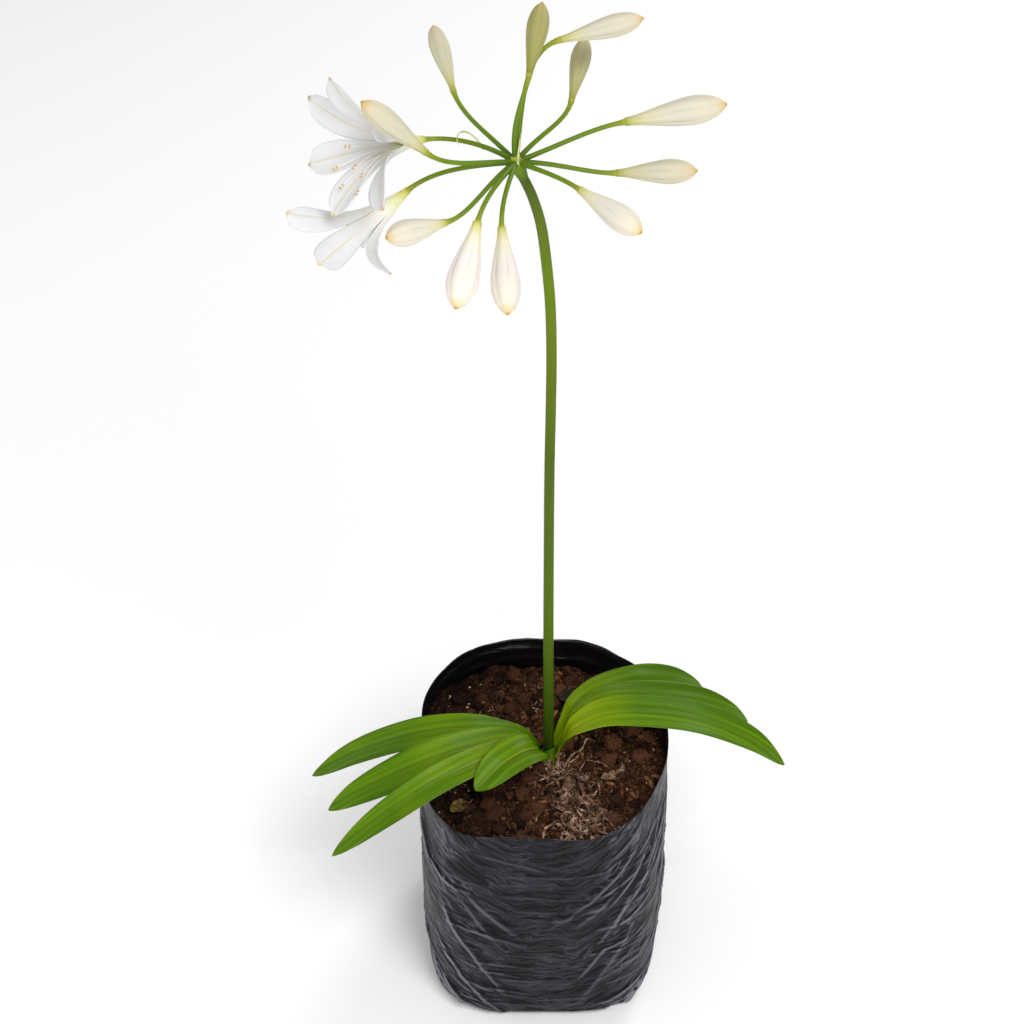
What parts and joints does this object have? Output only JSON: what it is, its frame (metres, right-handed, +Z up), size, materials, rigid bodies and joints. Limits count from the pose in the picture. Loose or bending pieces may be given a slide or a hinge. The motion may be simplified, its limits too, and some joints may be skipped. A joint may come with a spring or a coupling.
{
  "type": "potted agapanthus",
  "caption": "Flowering agapanthus in a soft black film nursery bag: strap leaves, a tall bare stem and a round head of white flowers and closed buds on thin stalks.",
  "frame": {"origin": "middle of the flat bottom of the bag, on the surface it stands on", "axes": "+Z up along the flower stem, -Y towards the front of the plant, +X to the front view's right"},
  "size_m": [0.2461, 0.1483, 0.5785],
  "materials": {
    "polythene_film": "satin, creased",
    "compost": "rough and crumbly",
    "fleshy_root": "dull",
    "sheath_green": "smooth, slightly waxy",
    "leaf_green": "waxy, half gloss",
    "scape_green": "smooth, slightly waxy",
    "pedicel_green": "smooth, slightly waxy",
    "bud_cream": "soft satin",
    "tepal_white": "soft satin, thin and translucent",
    "stamen_cream": "matte",
    "dry_root": "dry and fibrous",
    "dark_bark": "rough",
    "tan_bark": "rough",
    "dead_leaf": "dry"
  },
  "bodies": {
    "root": {"grow_bag": "polythene_film", "potting_compost": "compost", "rootstock": "fleshy_root", "leaf_sheath_neck": "sheath_green", "flower_scape": "scape_green", "umbel_stalks": "pedicel_green", "dry_root_tangle": "dry_root", "bark_chip_1": "dark_bark", "bark_chip_2": "tan_bark", "leaf_scrap": "dead_leaf", "leaf_left_1": "leaf_green", "leaf_left_2": "leaf_green", "leaf_left_3": "leaf_green", "leaf_left_4": "leaf_green", "leaf_right_1": "leaf_green", "leaf_right_2": "leaf_green", "leaf_right_3": "leaf_green", "bud_01": "bud_cream", "bud_02": "bud_cream", "bud_03": "bud_cream", "bud_04": "bud_cream", "bud_05": "bud_cream", "bud_06": "bud_cream", "bud_07": "bud_cream", "bud_08": "bud_cream", "bud_09": "bud_cream", "bud_10": "bud_cream", "bud_11": "bud_cream", "flower_1": "tepal_white", "flower_1_stamens": "stamen_cream", "flower_2": "tepal_white", "flower_2_stamens": "stamen_cream"}
  },
  "joints": []
}
